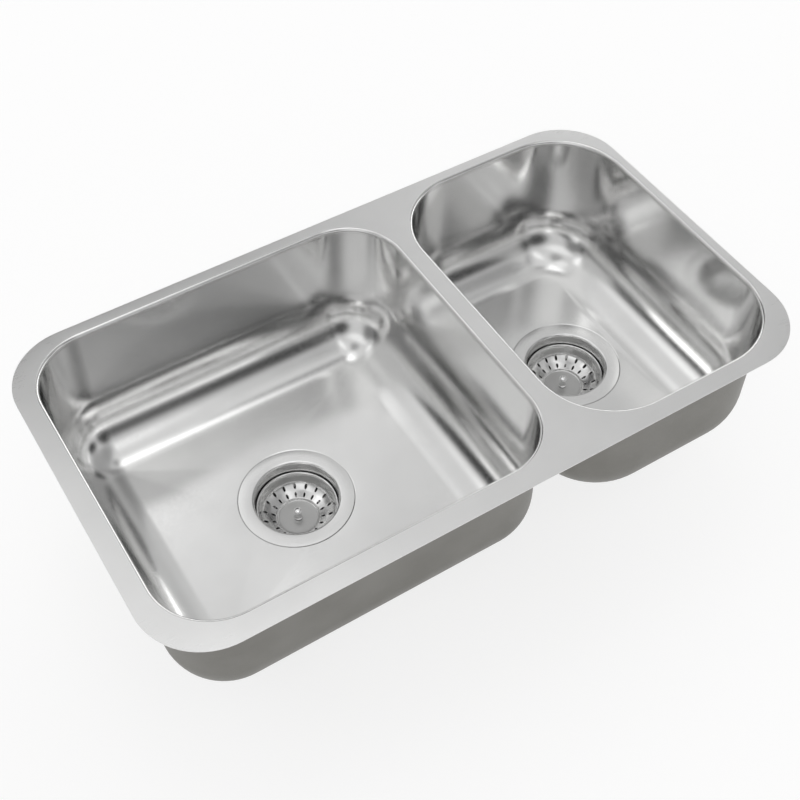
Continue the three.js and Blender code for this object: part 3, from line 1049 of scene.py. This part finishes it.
def make_locknut(side):
    """The nut with four lugs that clamps the strainer to the floor."""
    node = f"{side}_locknut"
    centre = drain_centre(side)
    reach, bottom, top = extent(node, centre)
    web = reach - LUG_REACH
    hub = NECK_HOLE + HUB_WALL
    under = top - LOCKNUT_WEB
    profile = [
        (NECK_HOLE + BORE_EDGE, bottom),
        *arc(hub - NUT_EDGE, bottom + NUT_EDGE, NUT_EDGE, -90, 0, 3),
        *arc(hub + HUB_FILLET, under - HUB_FILLET, HUB_FILLET, 180, 90, 3),
        *arc(web - NUT_EDGE, under + NUT_EDGE, NUT_EDGE, -90, 0, 3),
        *arc(web - NUT_EDGE, top - NUT_EDGE, NUT_EDGE, 0, 90, 3),
        (NECK_HOLE + BORE_EDGE, top), (NECK_HOLE, top - BORE_EDGE),
        (NECK_HOLE, bottom + BORE_EDGE), (NECK_HOLE + BORE_EDGE, bottom),
    ]
    nut = turned(f"{node}_cast", profile, centre, LOCKNUT_STEPS)
    lug = block(
        "lug",
        centre + Vector((hub - HUB_WALL / 2, -LUG_HALF, bottom + LUG_REACH / 2)) * MM,
        centre + Vector((reach, LUG_HALF, top - LOCKNUT_WEB / 2)) * MM)
    modify(lug, "BEVEL", width=LUG_EDGE, segments=3)
    join(nut, *copies_around(lug, centre, LUGS))
    place(nut, "sink", "nut_metal", node, finish=cast_nut)


# %% Coupling nut
COUPLING_SIDES = 8
COUPLING_EDGE = 1.4 * MM
COUPLING_BORE = 24.2
COUPLING_MOUTH = 20.4
COUPLING_LIP = 2.0
MOUTH_EDGE = 0.5
TOP_EDGE = 0.8
PAST = 1  # how far the cutting tool reaches past the nut


def make_coupling(side):
    """The eight-sided nut that holds the tailpiece."""
    node = f"{side}_coupling_nut"
    low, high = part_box(node)
    centre = drain_centre(side)
    _, bottom, top = extent(node, centre)
    bpy.ops.object.select_all(action="DESELECT")
    bpy.ops.mesh.primitive_cylinder_add(
        vertices=COUPLING_SIDES, radius=(high.x - low.x) / 2, depth=high.z - low.z,
        location=(centre.x, centre.y, (low.z + high.z) / 2))
    bpy.ops.object.transform_apply(location=True, rotation=True, scale=True)
    nut = bpy.context.object
    nut.name = f"{node}_cast"
    modify(nut, "BEVEL", width=COUPLING_EDGE, segments=3)
    bore = turned("bore", [
        (0, bottom - PAST), (COUPLING_MOUTH + MOUTH_EDGE, bottom - PAST),
        (COUPLING_MOUTH + MOUTH_EDGE, bottom), (COUPLING_MOUTH, bottom + MOUTH_EDGE),
        (COUPLING_MOUTH, bottom + COUPLING_LIP), (COUPLING_BORE, bottom + COUPLING_LIP),
        (COUPLING_BORE, top - TOP_EDGE), (COUPLING_BORE + TOP_EDGE, top),
        (COUPLING_BORE + TOP_EDGE, top + PAST), (0, top + PAST),
    ], centre)
    modify(nut, "BOOLEAN", operation="DIFFERENCE", object=bore, solver="EXACT")
    bpy.data.objects.remove(bore)
    place(nut, "sink", "nut_metal", node, finish=plated_nut)


for side in SIDES:
    make_locknut(side)
    make_coupling(side)

# %% [markdown]
# ## Basket
#
# The basket is pressed from thin sheet: a rolled rim, a short wall, and a sloping ring with
# two rows of eighteen slots round a flat middle. Cutting thirty-six capsules out with
# booleans would leave a ragged mesh. Here the slope is spun with three facets to a slot,
# every third facet is inset and deleted, and Subdivision Surface rounds each hole into the
# smooth oval that a punch leaves.

# %% Basket
SLOTS = 18
FACETS_PER_SLOT = 3
FACETS = SLOTS * FACETS_PER_SLOT
FIRST_SLOT = math.radians(7)
SLOT_SLACK = 0.1  # how far a facet's middle may be from its slot's, in slots
BASKET_SHEET = 0.8 * MM
DISC_RADIUS = 19.6 * MM  # the flat middle is left satin
SLOT_ROWS = ((22.6, 28.4, 0.35), (30.2, 36.3, 0.60))  # inner and outer radius, and inset
BASKET_PROFILE = [  # middle of the sheet, in millimetres below the flange
    (3.0, -36.4), (5.5, -36.4), (12.0, -36.4), (18.5, -36.4), (20.6, -36.2), (21.6, -35.2),
    (22.2, -34.2), (22.6, -33.9), (28.4, -31.1), (30.2, -30.2), (36.3, -26.2),
    (37.1, -24.6), (37.8, -21.9), (38.6, -18.2), (39.2, -15.9), (39.6, -14.8),
    (40.1, -14.2), (40.7, -14.1), (41.0, -14.6), (40.9, -15.1),
]


def is_slot(face, centre, inner, outer):
    """Whether a face of the slope between two radii is where a slot is punched."""
    spot = middle(face) - centre
    radius = math.hypot(spot.x, spot.y) / MM
    turn = (math.atan2(spot.y, spot.x) - FIRST_SLOT) / (2 * math.pi / SLOTS)
    return inner < radius < outer and abs(turn - round(turn)) < SLOT_SLACK


def make_basket(side):
    """One basket, bright with a satin middle."""
    centre = drain_centre(side)
    half_facet = math.pi / FACETS
    basket = turned(
        f"{side}_basket_pressed", BASKET_PROFILE, centre, FACETS, FIRST_SLOT - half_facet)
    begin(basket)
    for inner, outer, inset in SLOT_ROWS:
        count = choose("FACE", lambda f: is_slot(f, centre, inner, outer))
        bpy.ops.mesh.inset(thickness=inset * MM, use_individual=True)
        bpy.ops.mesh.delete(type="FACE")
        print(side, "basket row of", count, "slots")
    end()
    basket.data.materials.append(basket_bright)
    basket.data.materials.append(disc_satin)
    for face in basket.data.polygons:
        face.material_index = int((face.center - centre).xy.length < DISC_RADIUS)
    modify(basket, "SOLIDIFY", thickness=BASKET_SHEET, offset=0)
    modify(basket, "SUBSURF", levels=2, render_levels=2)
    place(basket, f"{side}_basket_unit", "strainer_steel", f"{side}_basket", sharp=60)


for side in SIDES:
    make_basket(side)

# %% [markdown]
# ## Stopper, knob and sleeve
#
# The basket carries a rubber stopper that closes on the cup's seat, and a knob turned like a
# small spool, whose stem ends in a soft sleeve that clicks into the spider. All three are
# turned shapes. The knob has fine steps, because its mirror finish shows every facet.

# %% Stopper
STOPPER_RADIUS = 27.0
STOPPER_LIP = 0.9
STOPPER_STEPS = 72


def make_stopper(side):
    """The rubber disc, with a shallow groove above and a raised ring below."""
    centre = drain_centre(side)
    _, bottom, top = extent(f"{side}_stopper", centre)
    rim = STOPPER_RADIUS - STOPPER_LIP
    profile = [
        (2.9, bottom + 0.6), (3.5, bottom + 0.2), (14.5, bottom + 0.2), (15.2, bottom + 0.9),
        (24.0, bottom + 0.9), (24.8, bottom + 0.2),
        *arc(rim, bottom + STOPPER_LIP, STOPPER_LIP, -90, 0, 4),
        *arc(rim, top - STOPPER_LIP, STOPPER_LIP, 0, 90, 4),
        (20.5, top), (19.9, top - 0.4), (19.3, top),
        (3.5, top), (2.9, top - 0.5), (2.9, bottom + 0.6),
    ]
    stopper = turned(f"{side}_stopper_moulded", profile, centre, STOPPER_STEPS)
    place(stopper, f"{side}_basket_unit", "black_rubber", f"{side}_stopper",
          finish=black_rubber)


# %% Knob
STEM_RADIUS = 2.6
STEM_END = -50.7
KNOB_CAP = 4.2
KNOB_WAIST = 2.8
KNOB_FOOT = -35.7
KNOB_TOP = -22.7
KNOB_STEPS = 48


def make_knob(side):
    """The knob and its stem, in one piece."""
    profile = [
        (0, STEM_END), (STEM_RADIUS - 0.4, STEM_END), (STEM_RADIUS, STEM_END + 0.4),
        (STEM_RADIUS, KNOB_FOOT), (KNOB_CAP - 0.3, KNOB_FOOT),
        *arc(KNOB_CAP - 0.5, KNOB_FOOT + 0.6, 0.5, -60, 60, 4),
        (KNOB_CAP - 0.6, KNOB_FOOT + 1.5), (KNOB_WAIST + 0.5, KNOB_FOOT + 2.4),
        (KNOB_WAIST + 0.1, KNOB_FOOT + 3.6), (KNOB_WAIST, KNOB_FOOT + 5.2),
        (KNOB_WAIST + 0.15, KNOB_FOOT + 6.8), (KNOB_WAIST + 0.6, KNOB_FOOT + 8.2),
        (KNOB_CAP - 0.35, KNOB_FOOT + 9.2), (KNOB_CAP, KNOB_FOOT + 10.2),
        (KNOB_CAP - 0.1, KNOB_FOOT + 11.3), (KNOB_CAP - 0.6, KNOB_FOOT + 12.2),
        (KNOB_CAP - 1.6, KNOB_TOP - 0.3), (1.2, KNOB_TOP - 0.05), (0, KNOB_TOP),
    ]
    knob = turned(f"{side}_knob_turned", profile, drain_centre(side), KNOB_STEPS)
    modify(knob, "SUBSURF", levels=1, render_levels=1)
    place(knob, f"{side}_basket_unit", "knob_steel", f"{side}_knob_stem",
          finish=knob_mirror, sharp=50)


# %% Sleeve
SLEEVE_RADIUS = 4.3
SLEEVE_PLAY = 0.3  # between the stem and its hole
SLEEVE_STEPS = 40


def make_sleeve(side):
    """The soft cap on the stem's end."""
    centre = drain_centre(side)
    _, bottom, top = extent(f"{side}_stem_sleeve", centre)
    hole = STEM_RADIUS + SLEEVE_PLAY
    ceiling = STEM_END - SLEEVE_PLAY
    profile = [
        (0, bottom), (1.6, bottom), *arc(2.0, bottom + 2.2, 2.2, -70, 0, 4),
        (SLEEVE_RADIUS - 0.5, bottom + 4.5), (SLEEVE_RADIUS - 0.5, bottom + 7.5),
        (SLEEVE_RADIUS, bottom + 8.4), (SLEEVE_RADIUS, top - 0.4),
        (SLEEVE_RADIUS - 0.4, top), (hole, top), (hole, ceiling), (0, ceiling),
    ]
    sleeve = turned(f"{side}_sleeve_moulded", profile, centre, SLEEVE_STEPS)
    place(sleeve, f"{side}_basket_unit", "grey_plastic", f"{side}_stem_sleeve",
          finish=grey_plastic)


for side in SIDES:
    make_stopper(side)
    make_knob(side)
    make_sleeve(side)
